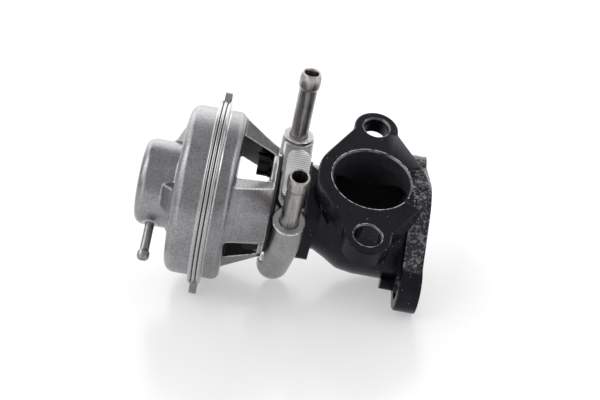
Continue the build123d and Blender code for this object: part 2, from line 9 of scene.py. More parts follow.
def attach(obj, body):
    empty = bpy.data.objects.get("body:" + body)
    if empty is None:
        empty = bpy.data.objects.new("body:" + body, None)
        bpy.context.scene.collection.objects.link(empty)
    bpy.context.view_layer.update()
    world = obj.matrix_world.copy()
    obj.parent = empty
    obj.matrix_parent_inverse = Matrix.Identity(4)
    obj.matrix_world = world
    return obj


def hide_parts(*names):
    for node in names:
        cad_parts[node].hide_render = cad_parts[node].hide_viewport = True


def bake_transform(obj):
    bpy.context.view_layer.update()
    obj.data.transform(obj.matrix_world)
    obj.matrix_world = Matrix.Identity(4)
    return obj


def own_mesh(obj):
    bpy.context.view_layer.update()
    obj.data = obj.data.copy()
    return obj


# Exhaust gas recirculation valve on a white studio table.
# Lengths are in metres and angles in degrees unless a note says otherwise.

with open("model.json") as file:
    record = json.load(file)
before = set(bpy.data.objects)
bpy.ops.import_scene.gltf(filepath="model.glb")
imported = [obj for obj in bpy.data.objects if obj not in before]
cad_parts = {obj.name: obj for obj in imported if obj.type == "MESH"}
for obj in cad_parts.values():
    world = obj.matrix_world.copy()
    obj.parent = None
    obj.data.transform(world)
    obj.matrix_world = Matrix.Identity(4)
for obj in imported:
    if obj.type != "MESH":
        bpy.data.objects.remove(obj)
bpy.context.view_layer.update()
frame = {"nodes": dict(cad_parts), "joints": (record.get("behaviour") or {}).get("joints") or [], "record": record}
nodes = frame["nodes"]
mounts = {m["name"]: m for m in frame["record"]["mounts"]}
print("frame loaded:", len(nodes), "nodes")


# valve axes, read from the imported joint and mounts

stemAxis = -Vector(frame["joints"][0]["axis"]).normalized()  # from the cap to the inlet
portAxis = Vector(mounts["outlet_port"]["axis"]).normalized()
sideAxis = portAxis.cross(stemAxis).normalized()


def centreOnFace(holes, face, axis):
    centre = Vector(mounts[holes]["pos_m"])
    return centre + axis * (Vector(mounts[face]["pos_m"]) - centre).dot(axis)


stemPoint = centreOnFace("inlet_bolts", "inlet_face", stemAxis)      # on the stem, in the inlet face
portPoint = centreOnFace("outlet_bolts", "outlet_face", portAxis)    # on the port axis, in its face


def axesTurn(zAxis, xAxis):
    z = zAxis.normalized()
    x = (xAxis - z * xAxis.dot(z)).normalized()
    return Matrix((x, z.cross(x), z)).transposed()


def stemStation(point):
    return (point - stemPoint).dot(stemAxis)


def acrossAxis(point, origin, axis):
    # from the nearest place on the axis to the point
    rel = point - origin
    return rel - axis * rel.dot(axis)


def offAxis(point, origin, axis):
    return acrossAxis(point, origin, axis).length


# picking and shaping

weldGap = 0.000002      # points nearer than this are joined
cutGap = 0.0000005      # and points nearer than this to a cutting plane lie on it


def clearPicks():
    if bpy.context.mode != "OBJECT":
        bpy.ops.object.mode_set(mode="OBJECT")
    bpy.ops.object.select_all(action="DESELECT")


def pickOnly(piece):
    clearPicks()
    bpy.context.view_layer.objects.active = piece
    piece.select_set(True)


def copyOfNode(nodeName, pieceName):
    piece = bpy.data.objects.new(pieceName, nodes[nodeName].data.copy())
    bpy.context.scene.collection.objects.link(piece)
    piece.data.name = pieceName
    piece.data.materials.clear()
    pickOnly(piece)
    bpy.ops.object.mode_set(mode="EDIT")
    bpy.ops.mesh.select_all(action="SELECT")
    bpy.ops.mesh.customdata_custom_splitnormals_clear()
    bpy.ops.mesh.remove_doubles(threshold=weldGap)
    bpy.ops.object.mode_set(mode="OBJECT")
    return piece


def smoothUnder(piece, angle):
    pickOnly(piece)
    bpy.ops.object.shade_smooth_by_angle(angle=math.radians(angle))


def applyModifier(piece, kind, **values):
    pickOnly(piece)
    modifier = piece.modifiers.new(kind.lower(), kind)
    for key, value in values.items():
        setattr(modifier, key, value)
    bpy.ops.object.modifier_apply(modifier=modifier.name)


def pickFaces(piece, test):
    clearPicks()
    mesh = piece.data
    mesh.vertices.foreach_set("select", [False] * len(mesh.vertices))
    mesh.edges.foreach_set("select", [False] * len(mesh.edges))
    mesh.polygons.foreach_set("select", [test(face.center, face.normal) for face in mesh.polygons])
    bpy.context.view_layer.objects.active = piece
    piece.select_set(True)
    bpy.context.tool_settings.mesh_select_mode = (False, False, True)
    bpy.ops.object.mode_set(mode="EDIT")


edgeTurnLimit = 0.3     # the sharpest turn that markEdges tells apart


def markEdges(piece, rounds):
    # keeps at each vertex how sharply the surface turns outwards there, for the wear and painted highlight along
    # edges
    mesh = piece.data
    tiny = 1e-12
    count = len(mesh.vertices)
    points = numpy.empty(count * 3, dtype=numpy.float32)
    normals = numpy.empty(count * 3, dtype=numpy.float32)
    ends = numpy.empty(len(mesh.edges) * 2, dtype=numpy.int32)
    mesh.vertices.foreach_get("co", points)
    mesh.vertices.foreach_get("normal", normals)
    mesh.edges.foreach_get("vertices", ends)
    points, normals = points.reshape(-1, 3), normals.reshape(-1, 3)
    first, second = ends.reshape(-1, 2).T
    step = points[first] - points[second]
    step /= numpy.linalg.norm(step, axis=1, keepdims=True) + tiny
    links = numpy.bincount(ends, minlength=count) + tiny
    turn = numpy.bincount(first, weights=(normals[first] * step).sum(axis=1), minlength=count)
    turn -= numpy.bincount(second, weights=(normals[second] * step).sum(axis=1), minlength=count)
    turn = numpy.clip(turn / links, -edgeTurnLimit, edgeTurnLimit)
    for index in range(rounds):
        near = numpy.bincount(first, weights=turn[second], minlength=count)
        near += numpy.bincount(second, weights=turn[first], minlength=count)
        turn = (turn + near / links) / 2
    wearAndHighlight = mesh.attributes.new("edgeWearAndHighlight", "FLOAT", "POINT")
    wearAndHighlight.data.foreach_set("value", turn.astype(numpy.float32))


def softenCasting(piece, look):
    applyModifier(piece, "REMESH", mode="VOXEL", voxel_size=look["voxel"], adaptivity=0.0)
    applyModifier(piece, "SMOOTH", factor=0.5, iterations=look["softness"])
    pickOnly(piece)
    bpy.ops.object.shade_smooth()
    markEdges(piece, look["edgeBlur"])


def keepSide(piece, point, direction):
    pickOnly(piece)
    bpy.context.tool_settings.mesh_select_mode = (True, False, False)
    bpy.ops.object.mode_set(mode="EDIT")
    bpy.ops.mesh.select_all(action="SELECT")
    bpy.ops.mesh.bisect(plane_co=point, plane_no=direction, use_fill=True, clear_inner=True, threshold=cutGap)
    bpy.ops.mesh.select_all(action="SELECT")
    bpy.ops.mesh.normals_make_consistent(inside=False)
    bpy.ops.object.mode_set(mode="OBJECT")


def latheAround(name, profile, sides):
    clearPicks()
    station, radius = profile[0]
    bpy.ops.mesh.primitive_circle_add(vertices=sides, radius=radius, fill_type="NOTHING",
                                      location=(0, 0, station))
    piece = bpy.context.object
    piece.name = piece.data.name = name
    bpy.context.tool_settings.mesh_select_mode = (True, False, False)
    bpy.ops.object.mode_set(mode="EDIT")
    bpy.ops.mesh.select_all(action="SELECT")
    for (z0, r0), (z1, r1) in zip(profile, profile[1:]):
        bpy.ops.mesh.extrude_edges_move(TRANSFORM_OT_translate={"value": (0, 0, z1 - z0)})
        bpy.ops.transform.resize(value=(r1 / r0, r1 / r0, 1), center_override=(0, 0, z1))
    bpy.ops.mesh.select_all(action="DESELECT")
    bpy.ops.mesh.select_non_manifold()
    bpy.ops.mesh.bridge_edge_loops()
    bpy.ops.mesh.select_all(action="SELECT")
    bpy.ops.mesh.normals_make_consistent(inside=False)
    pickOnly(piece)
    bpy.ops.object.transform_apply(location=True, rotation=True, scale=True)
    return piece


def placeAlong(piece, point, direction, reference):
    piece.matrix_world = Matrix.Translation(point) @ axesTurn(direction, reference).to_4x4()
    pickOnly(piece)
    bpy.ops.object.transform_apply(location=True, rotation=True, scale=True)


def ownCopy(piece, name):
    twin = bpy.data.objects.new(name, piece.data.copy())
    bpy.context.scene.collection.objects.link(twin)
    twin.data.name = name
    return twin


def handOver(piece, node, body="housing"):
    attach(piece, body)
    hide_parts(node)


def useMaterials(piece, *materials):
    piece.data.materials.clear()
    for m in materials:
        piece.data.materials.append(m)


def paintFaces(piece, finish, test):
    # the finish is one of the piece's own
    index = piece.data.materials.find(finish.name)
    for face in piece.data.polygons:
        if test(face.center, face.normal):
            face.material_index = index


# shader building

noiseSpan = (0.3, 0.7)      # nearly all of a noise's values lie between these


def newShader(name):
    material = bpy.data.materials.new(name)
    material.use_nodes = True
    tree = material.node_tree
    shader = tree.nodes["Principled BSDF"]
    return material, tree, shader


def localPlace(tree, origin, turn, cell=(1, 1, 1)):
    coord = tree.nodes.new("ShaderNodeTexCoord")
    mapping = tree.nodes.new("ShaderNodeMapping")
    mapping.vector_type = "TEXTURE"
    mapping.inputs["Location"].default_value = origin
    mapping.inputs["Rotation"].default_value = turn.to_euler()
    mapping.inputs["Scale"].default_value = cell
    tree.links.new(coord.outputs["Object"], mapping.inputs["Vector"])
    return mapping.outputs["Vector"]


def noiseOf(tree, size, detail=3.0, rough=0.5, vector=None):
    noise = tree.nodes.new("ShaderNodeTexNoise")
    noise.inputs["Scale"].default_value = 1.0 / size
    noise.inputs["Detail"].default_value = detail
    noise.inputs["Roughness"].default_value = rough
    if vector is None:
        vector = tree.nodes.new("ShaderNodeTexCoord").outputs["Object"]
    tree.links.new(vector, noise.inputs["Vector"])
    return noise.outputs["Fac"]


def rampOf(tree, source, low, high, first, last):
    ramp = tree.nodes.new("ShaderNodeValToRGB")
    ramp.color_ramp.elements[0].position = low
    ramp.color_ramp.elements[0].color = (*first, 1)
    ramp.color_ramp.elements[1].position = high
    ramp.color_ramp.elements[1].color = (*last, 1)
    tree.links.new(source, ramp.inputs["Fac"])
    return ramp.outputs["Color"]


def rangeOf(tree, source, low, high, first, last):
    span = tree.nodes.new("ShaderNodeMapRange")
    span.inputs["From Min"].default_value = low
    span.inputs["From Max"].default_value = high
    span.inputs["To Min"].default_value = first
    span.inputs["To Max"].default_value = last
    tree.links.new(source, span.inputs["Value"])
    return span.outputs["Result"]


def mathOf(tree, operation, *values):
    node = tree.nodes.new("ShaderNodeMath")
    node.operation = operation
    for socket, value in zip(node.inputs, values):
        if isinstance(value, (int, float)):
            socket.default_value = value
        else:
            tree.links.new(value, socket)
    return node.outputs["Value"]


def sharesOf(tree, first, second, shares):
    # two patterns added, each by its share
    parts = [mathOf(tree, "MULTIPLY", value, share) for value, share in zip((first, second), shares)]
    return mathOf(tree, "ADD", *parts)


def mixOf(tree, factor, first, second):
    mix = tree.nodes.new("ShaderNodeMix")
    mix.data_type = "RGBA"
    tree.links.new(factor, mix.inputs["Factor"])
    tree.links.new(first, mix.inputs["A"])
    mix.inputs["B"].default_value = (*second, 1)
    return mix.outputs["Result"]


def spotOf(tree, spacing, size):
    # 1 inside small scattered spots, 0 elsewhere
    spot = tree.nodes.new("ShaderNodeTexVoronoi")
    spot.inputs["Scale"].default_value = 1 / spacing
    coord = tree.nodes.new("ShaderNodeTexCoord")
    tree.links.new(coord.outputs["Object"], spot.inputs["Vector"])
    return mathOf(tree, "LESS_THAN", spot.outputs["Distance"], size)


def edgeOf(tree, first, last):
    # 0 on flat and hollow places, 1 along sharp outer edges
    place = tree.nodes.new("ShaderNodeAttribute")
    place.attribute_name = "edgeWearAndHighlight"
    return rangeOf(tree, place.outputs["Fac"], first, last, 0.0, 1.0)


def bumpOf(tree, height, depth, after=None):
    bump = tree.nodes.new("ShaderNodeBump")
    bump.inputs["Distance"].default_value = depth
    bump.inputs["Strength"].default_value = 1.0
    tree.links.new(height, bump.inputs["Height"])
    if after is not None:
        tree.links.new(after, bump.inputs["Normal"])
    return bump.outputs["Normal"]


def waveOf(tree, kind, pitch, distortion, vector):
    # straight bands across X or rings round Z, one pitch apart
    wave = tree.nodes.new("ShaderNodeTexWave")
    wave.wave_type = kind
    wave.bands_direction = "X"
    wave.rings_direction = "Z"
    wave.inputs["Scale"].default_value = math.pi / 10 / pitch
    wave.inputs["Distortion"].default_value = distortion
    tree.links.new(vector, wave.inputs["Vector"])
    return wave


# finishes

housingAluminium = {
    "light": (0.385, 0.378, 0.390),
    "dark": (0.195, 0.190, 0.200),
    # colour along sharp outer edges: worn metal and a painted highlight
    "edge": (0.72, 0.72, 0.72),
    "wearAndHighlight": (0.03, 0.11),
    "blotch": 0.011,
    "shares": (0.35, 0.65),     # of blotch and grain in the colour
    "ramp": (0.36, 0.64),
    "grain": 0.0008,
    "grainDepth": 0.00005,
    "skin": 0.0030,
    "skinDepth": 0.00005,
    "gloss": (0.26, 0.36),
    "metal": 1.0,
    "pit": 0.0052,
    "pitSize": 0.035,
    "pitDepth": 0.0003,
    "pitShade": 0.4,
}
spiderAluminium = dict(housingAluminium, light=(0.335, 0.328, 0.340), dark=(0.165, 0.160, 0.170))
# lighter than the other castings, partly to paint in the light falling on the jacket from the upper front
jacketAluminium = dict(housingAluminium, light=(0.52, 0.51, 0.515), dark=(0.29, 0.285, 0.29))
# a near-black copy of the casting: painted shade for the legs' inner sides and the rim's grooves
paintedShadeAluminium = dict(housingAluminium, light=(0.020, 0.020, 0.022), dark=(0.010, 0.010, 0.012))
paintedShadeAluminium.update(edge=(0.04, 0.04, 0.04), metal=0.0, gloss=(0.45, 0.60))
rimAluminium = dict(housingAluminium, light=(0.50, 0.495, 0.50), dark=(0.36, 0.355, 0.36))
rimAluminium.update(gloss=(0.15, 0.22), grainDepth=0.000008, skinDepth=0.00001, pitDepth=0.00003)
# bright polished metal, light enough to paint a highlight on the bosses' edges and the pad's rounded edge
polishedHighlightAluminium = dict(housingAluminium, light=(0.90, 0.90, 0.90), dark=(0.60, 0.60, 0.60))
polishedHighlightAluminium.update(gloss=(0.20, 0.30))


def castAluminium(name, look):
    material, tree, shader = newShader(name)
    blotch = noiseOf(tree, look["blotch"], detail=4.0, rough=0.6)
    grain = noiseOf(tree, look["grain"], detail=3.0, rough=0.7)
    skin = noiseOf(tree, look["skin"], detail=3.0, rough=0.55)
    pit = spotOf(tree, look["pit"], look["pitSize"])
    mixed = sharesOf(tree, blotch, grain, look["shares"])
    clean = rampOf(tree, mixed, *look["ramp"], look["dark"], look["light"])
    # sharp outer edges take the edge colour: wear and a painted highlight
    wornAndLit = mixOf(tree, edgeOf(tree, *look["wearAndHighlight"]), clean, look["edge"])
    pitColour = tuple(c * look["pitShade"] for c in look["dark"])
    tree.links.new(mixOf(tree, pit, wornAndLit, pitColour), shader.inputs["Base Color"])
    tree.links.new(rangeOf(tree, blotch, *noiseSpan, *look["gloss"]), shader.inputs["Roughness"])
    normal = bumpOf(tree, skin, look["skinDepth"])
    normal = bumpOf(tree, grain, look["grainDepth"], normal)
    normal = bumpOf(tree, mathOf(tree, "SUBTRACT", 1.0, pit), look["pitDepth"], normal)
    tree.links.new(normal, shader.inputs["Normal"])
    shader.inputs["Metallic"].default_value = look["metal"]
    return material


milled = {
    "light": (0.92, 0.92, 0.92),
    "dark": (0.52, 0.52, 0.52),
    "pitch": 0.0011,
    "waver": 1.6,
    "waverScale": 1.5,
    "cloud": 0.006,
    "shares": (0.4, 0.6),       # of cutter marks and cloud in the colour
    "depth": 0.00003,
    "gloss": (0.30, 0.42),
}


def milledMetal(name, look, origin, turn):
    material, tree, shader = newShader(name)
    wave = waveOf(tree, "BANDS", look["pitch"], look["waver"], localPlace(tree, origin, turn))
    wave.inputs["Detail Scale"].default_value = look["waverScale"]
    cloud = noiseOf(tree, look["cloud"], detail=4.0, rough=0.6)
    mixed = sharesOf(tree, wave.outputs["Fac"], cloud, look["shares"])
    tree.links.new(rampOf(tree, mixed, *noiseSpan, look["dark"], look["light"]), shader.inputs["Base Color"])
    tree.links.new(rangeOf(tree, cloud, *noiseSpan, *look["gloss"]), shader.inputs["Roughness"])
    tree.links.new(bumpOf(tree, wave.outputs["Fac"], look["depth"]), shader.inputs["Normal"])
    shader.inputs["Metallic"].default_value = 1.0
    return material


tubeSteel = {
    "light": (0.58, 0.555, 0.54),
    "dark": (0.20, 0.19, 0.185),
    "streakWidth": 0.0009,
    "streakLength": 0.03,
    "stain": 0.004,
    "shares": (0.65, 0.35),     # of streak and stain in the colour
    "ramp": (0.32, 0.62),
    "depth": 0.00003,
    "gloss": (0.24, 0.42),
}
stubSteel = dict(tubeSteel, light=(0.42, 0.41, 0.40), dark=(0.16, 0.155, 0.15))


def drawnSteel(name, look, origin, direction):
    material, tree, shader = newShader(name)
    turn = axesTurn(direction, Vector((1, 0, 0)))
    cell = (look["streakWidth"], look["streakWidth"], look["streakLength"])
    streak = noiseOf(tree, 1.0, detail=4.0, rough=0.65, vector=localPlace(tree, origin, turn, cell))
    stain = noiseOf(tree, look["stain"], detail=4.0, rough=0.6)
    mixed = sharesOf(tree, streak, stain, look["shares"])
    colour = rampOf(tree, mixed, *look["ramp"], look["dark"], look["light"])
    tree.links.new(colour, shader.inputs["Base Color"])
    tree.links.new(rangeOf(tree, streak, *noiseSpan, *look["gloss"]), shader.inputs["Roughness"])
    tree.links.new(bumpOf(tree, streak, look["depth"]), shader.inputs["Normal"])
    shader.inputs["Metallic"].default_value = 1.0
    return material


blackPaint = {
    "light": (0.0070, 0.0066, 0.0110),
    "dark": (0.0026, 0.0024, 0.0045),
    "tint": (0.90, 0.88, 1.0),
    "gloss": (0.18, 0.30),
    "specular": 0.19,
    "cloud": 0.009,
    "skin": 0.0014,
    "skinDepth": 0.00006,
    "faceDepth": 0.000008,      # the same skin on a machined face
    "line": 0.0006,             # turning lines in that face
    "lineWaver": 0.8,
    "lineDepth": 0.000012,
    "dust": 0.0026,
    "dustSize": 0.065,
    "dustColour": (0.34, 0.34, 0.36),
    "lipWidth": 0.00025,        # bare metal with a painted highlight just round each mouth in the machined face
    "lipHighlightColour": (0.62, 0.62, 0.64),
    "lipPatch": 0.003,
    "lipRamp": (0.40, 0.52, 0.1, 1.0),      # the patch's noise, from and to, and how much bare metal and painted highlight it puts on the lip
}


def bareLipHighlight(tree, look, centre, radius):
    # 1 in a thin, broken ring just outside a mouth in the outlet face, for bare metal and a painted highlight
    split = tree.nodes.new("ShaderNodeSeparateXYZ")
    tree.links.new(localPlace(tree, centre, axesTurn(portAxis, stemAxis)), split.inputs["Vector"])
    squares = [mathOf(tree, "MULTIPLY", split.outputs[side], split.outputs[side]) for side in ("X", "Y")]
    reach = mathOf(tree, "SQRT", mathOf(tree, "ADD", *squares))
    ring = mathOf(tree, "LESS_THAN", reach, radius + look["lipWidth"])
    patch = noiseOf(tree, look["lipPatch"], detail=2.0)
    return mathOf(tree, "MULTIPLY", ring, rangeOf(tree, patch, *look["lipRamp"]))


def paintedIron(name, look, skinDepth, mouths=()):
    # a face with mouths is machined: it has turning lines round the port and bare metal with a painted highlight
    # round each mouth
    material, tree, shader = newShader(name)
    cloud = noiseOf(tree, look["cloud"], detail=4.0, rough=0.6)
    skin = noiseOf(tree, look["skin"], detail=4.0, rough=0.6)
    colour = rampOf(tree, cloud, *noiseSpan, look["dark"], look["light"])
    colour = mixOf(tree, spotOf(tree, look["dust"], look["dustSize"]), colour, look["dustColour"])
    normal = bumpOf(tree, skin, skinDepth)
    for centre, radius in mouths:
        colour = mixOf(tree, bareLipHighlight(tree, look, centre, radius), colour, look["lipHighlightColour"])
    if mouths:
        place = localPlace(tree, portPoint, axesTurn(portAxis, stemAxis))
        wave = waveOf(tree, "RINGS", look["line"], look["lineWaver"], place)
        normal = bumpOf(tree, wave.outputs["Fac"], look["lineDepth"], normal)
    tree.links.new(colour, shader.inputs["Base Color"])
    tree.links.new(rangeOf(tree, skin, *noiseSpan, *look["gloss"]), shader.inputs["Roughness"])
    tree.links.new(normal, shader.inputs["Normal"])
    shader.inputs["Specular IOR Level"].default_value = look["specular"]
    shader.inputs["Specular Tint"].default_value = (*look["tint"], 1)
    return material


chippedGlintWall = {
    "paint": blackPaint["light"],
    # bright specks: chipped paint and painted glints
    "chipAndGlint": (0.17, 0.17, 0.19),
    "lump": 0.0011,
    "patch": 0.007,
    "shares": (0.75, 0.25),     # of lump and patch in the colour
    "ramp": (0.50, 0.60),
    "gloss": (0.22, 0.40),
    "depth": 0.0003,
}


def chippedGlintPaint(name, look):
    # as-cast wall with bright specks: paint worn off the high spots, and painted glints
    material, tree, shader = newShader(name)
    lump = noiseOf(tree, look["lump"], detail=2.0, rough=0.55)
    patch = noiseOf(tree, look["patch"], detail=3.0, rough=0.6)
    mixed = sharesOf(tree, lump, patch, look["shares"])
    colour = rampOf(tree, mixed, *look["ramp"], look["paint"], look["chipAndGlint"])
    tree.links.new(colour, shader.inputs["Base Color"])
    tree.links.new(rangeOf(tree, lump, *noiseSpan, *look["gloss"]), shader.inputs["Roughness"])
    tree.links.new(bumpOf(tree, lump, look["depth"]), shader.inputs["Normal"])
    return material


plainSteel = {"light": (0.52, 0.51, 0.49), "dark": (0.36, 0.35, 0.33), "gloss": (0.25, 0.42)}
# near white: bare metal, with painted glare on the top-facing faces it covers
bareGlareIron = {"light": (0.95, 0.95, 0.95), "dark": (0.35, 0.35, 0.36), "gloss": (0.30, 0.45)}
bareIron = {"light": (0.20, 0.20, 0.21), "dark": (0.03, 0.03, 0.033), "gloss": (0.28, 0.42)}
sootSteel = {"light": (0.20, 0.19, 0.18), "dark": (0.09, 0.085, 0.08), "gloss": (0.34, 0.55)}
blackOxide = {"light": (0.045, 0.045, 0.05), "dark": (0.018, 0.018, 0.02), "gloss": (0.24, 0.40)}
sinterBronze = {"light": (0.42, 0.27, 0.13), "dark": (0.24, 0.15, 0.07), "gloss": (0.40, 0.60)}
metalSkin = {"cloud": 0.004, "ramp": (0.32, 0.68), "grain": 0.0004, "depth": 0.00003}


def wornMetal(name, look):
    material, tree, shader = newShader(name)
    cloud = noiseOf(tree, metalSkin["cloud"], detail=5.0, rough=0.6)
    grain = noiseOf(tree, metalSkin["grain"], detail=2.0)
    colour = rampOf(tree, cloud, *metalSkin["ramp"], look["dark"], look["light"])
    tree.links.new(colour, shader.inputs["Base Color"])
    tree.links.new(rangeOf(tree, grain, *noiseSpan, *look["gloss"]), shader.inputs["Roughness"])
    tree.links.new(bumpOf(tree, grain, metalSkin["depth"]), shader.inputs["Normal"])
    shader.inputs["Metallic"].default_value = 1.0
    return material


rubber = {"light": (0.03, 0.03, 0.03), "dark": (0.015, 0.015, 0.016), "gloss": (0.55, 0.75)}
graphite = {"light": (0.07, 0.07, 0.075), "dark": (0.03, 0.03, 0.033), "gloss": (0.5, 0.7)}
sootBore = {"light": (0.036, 0.038, 0.043), "dark": (0.017, 0.018, 0.021), "gloss": (0.35, 0.60)}
dullSkin = {"cloud": 0.003, "grain": 0.0003, "depth": 0.00006}


def dullCoat(name, look):
    material, tree, shader = newShader(name)
    cloud = noiseOf(tree, dullSkin["cloud"], detail=4.0, rough=0.6)
    grain = noiseOf(tree, dullSkin["grain"], detail=3.0, rough=0.6)
    tree.links.new(rampOf(tree, cloud, *noiseSpan, look["dark"], look["light"]), shader.inputs["Base Color"])
    tree.links.new(rangeOf(tree, grain, *noiseSpan, *look["gloss"]), shader.inputs["Roughness"])
    tree.links.new(bumpOf(tree, grain, dullSkin["depth"]), shader.inputs["Normal"])
    return material


castFinish = castAluminium("castAluminium", housingAluminium)
spiderFinish = castAluminium("spiderAluminium", spiderAluminium)
jacketFinish = castAluminium("jacketAluminium", jacketAluminium)
paintedShadeFinish = castAluminium("paintedShadeAluminium", paintedShadeAluminium)
rimFinish = castAluminium("rimAluminium", rimAluminium)
polishedHighlightFinish = castAluminium("polishedHighlightAluminium", polishedHighlightAluminium)
steelFinish = wornMetal("plainSteel", plainSteel)
sootFinish = wornMetal("sootSteel", sootSteel)
blackFinish = wornMetal("blackOxide", blackOxide)
bronzeFinish = wornMetal("sinterBronze", sinterBronze)
rubberFinish = dullCoat("rubber", rubber)
graphiteFinish = dullCoat("graphite", graphite)
print("finishes ready")


# carried-over CAD nodes

nodeFinish = {
    "spring_seat": steelFinish,
    "diaphragm_cup": steelFinish,
    "diaphragm_plate": steelFinish,
    "stem_nut": steelFinish,
    "stem_washer": steelFinish,
    "valve_stem": sootFinish,
    "valve_head": sootFinish,
    "seat_ring": sootFinish,
    "scraper_shield": sootFinish,
    "guide_bush": bronzeFinish,
    "stem_seal": rubberFinish,
    "seal_retainer": steelFinish,
    "insulating_gasket": graphiteFinish,
    "body_gasket": graphiteFinish,
    "dowels": steelFinish,
    "spring_washers": blackFinish,
}
for nodeName, finish in nodeFinish.items():
    useMaterials(nodes[nodeName], finish)
print("CAD nodes finished")


# return spring, which shortens as the valve lifts, and diaphragm, which rolls up with it

liftLook = {
    "clamped": -0.0907,     # stations along the stem: the diaphragm is held outside the first one
    "carried": -0.0886,     # and moves with the stem from the second one on
    "smooth": 40,
}

returnSpring = copyOfNode("return_spring", "returnSpring")
smoothUnder(returnSpring, liftLook["smooth"])
useMaterials(returnSpring, steelFinish)
handOver(returnSpring, "return_spring")
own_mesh(returnSpring)

rollingDiaphragm = copyOfNode("diaphragm", "rollingDiaphragm")
smoothUnder(rollingDiaphragm, liftLook["smooth"])
useMaterials(rollingDiaphragm, rubberFinish)
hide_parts("diaphragm")
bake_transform(rollingDiaphragm)
print("spring and diaphragm finished")


# vacuum cover, a casting with softly run-out gussets

coverLook = {"voxel": 0.00052, "softness": 3, "edgeBlur": 1}

vacuumCover = copyOfNode("actuator_cover", "vacuumCover")
softenCasting(vacuumCover, coverLook)
useMaterials(vacuumCover, castFinish)
handOver(vacuumCover, "actuator_cover")
print("vacuum cover finished")


# lower housing, a crisp rolled rim and a cast spider behind it

housingLook = {
    "voxel": 0.00050,
    "softness": 2,
    "edgeBlur": 1,
    "rimLength": 0.005,
    "rimSkin": (0.0393, 0.04005),   # the blank's rim between these radii is pulled in under the turned band
    "rimCore": 0.0383,              # to this one
    "rimSmooth": 30,
    "drumEnd": 0.012,               # the legs start this far from the rim's start
    "legTurn": -0.25,               # a face that turns inwards more than this gets painted shade
}
bandLook = {
    "sides": 180,
    "lap": 0.00010,                 # the band stands this far past the blank at both ends
    "inside": 0.0022,               # and reaches this far into it
    "ridges": 3,
    "halfRidge": (                  # place in ridge widths from the crown, and drop below the crown
        (-0.5, 0.00095), (-0.39, 0.00095), (-0.37, 0.00034), (-0.26, 0.00014), (-0.12, 0.000024),
    ),
    "plainEnd": 0.12,               # ridge widths at both ends of the band that have no groove
    "endDrop": 0.0006,
    "foot": ((0, 0.0374), (0.00028, 0.03688), (0.0008, 0.03666)),   # past the band's end, and radius
    "shade": 0.00055,               # deeper than this below the crowns a groove gets painted shade
    "shadeEnd": 0.0003,
    "smooth": 38,
}
rimStart = min(stemStation(v.co) for v in nodes["lower_housing"].data.vertices)
rimEndPoint = stemPoint + stemAxis * (rimStart + housingLook["rimLength"])


rolledRim = copyOfNode("lower_housing", "rolledRim")
keepSide(rolledRim, rimEndPoint, -stemAxis)
rimRadius = 0
for vertex in rolledRim.data.vertices:
    along = stemPoint + stemAxis * stemStation(vertex.co)
    radius = (vertex.co - along).length
    if housingLook["rimSkin"][0] < radius < housingLook["rimSkin"][1]:
        rimRadius = max(rimRadius, radius)
        vertex.co = along + (vertex.co - along) * housingLook["rimCore"] / radius
smoothUnder(rolledRim, housingLook["rimSmooth"])
useMaterials(rolledRim, castFinish)
handOver(rolledRim, "lower_housing")


def ridgedBand(name, look, length, radius, core):
    # turned band with crowned ridges between narrow grooves, starting at the origin along +Z
    pitch = length / look["ridges"]
    plain = look["plainEnd"] * pitch
    shape = look["halfRidge"] + tuple((-place, drop) for place, drop in reversed(look["halfRidge"]))
    profile = [(0, core), (0, radius - look["endDrop"])]
    for ridge in range(look["ridges"]):
        for place, drop in shape:
            station = (ridge + 0.5 + place) * pitch
            if plain < station < length - plain and station > profile[-1][0] + weldGap:
                profile.append((station, radius - drop))
    profile.append((length, radius - look["endDrop"]))
    profile += [(length + past, footRadius) for past, footRadius in look["foot"]]
    profile.append((profile[-1][0], core))
    return latheAround(name, profile, look["sides"])


def shadedRimGroove(point, normal):
    half = housingLook["rimLength"] / 2
    if abs(stemStation(point) - rimStart - half) > half - bandLook["shadeEnd"]:
        return False
    return offAxis(point, stemPoint, stemAxis) < rimRadius - bandLook["shade"]


rimBand = ridgedBand("rimBand", bandLook, housingLook["rimLength"] + bandLook["lap"] * 2, rimRadius,
                     housingLook["rimCore"] - bandLook["inside"])
placeAlong(rimBand, stemPoint + stemAxis * (rimStart - bandLook["lap"]), stemAxis, portAxis)
smoothUnder(rimBand, bandLook["smooth"])
useMaterials(rimBand, rimFinish, paintedShadeFinish)
# painted shade in the grooves between the ridges
paintFaces(rimBand, paintedShadeFinish, shadedRimGroove)
handOver(rimBand, "lower_housing")


def shadedLegSides(point, normal):
    # the side of each leg that looks at the stem, which gets painted shade
    if stemStation(point) < rimStart + housingLook["drumEnd"]:
        return False
    return normal.dot(acrossAxis(point, stemPoint, stemAxis).normalized()) < housingLook["legTurn"]


castSpider = copyOfNode("lower_housing", "castSpider")
keepSide(castSpider, rimEndPoint, stemAxis)
softenCasting(castSpider, housingLook)
useMaterials(castSpider, spiderFinish, paintedShadeFinish)
# painted shade on the legs' inner sides
paintFaces(castSpider, paintedShadeFinish, shadedLegSides)
handOver(castSpider, "lower_housing")
print("housing finished")


# water jacket, cast with a milled pad and milled tube bosses

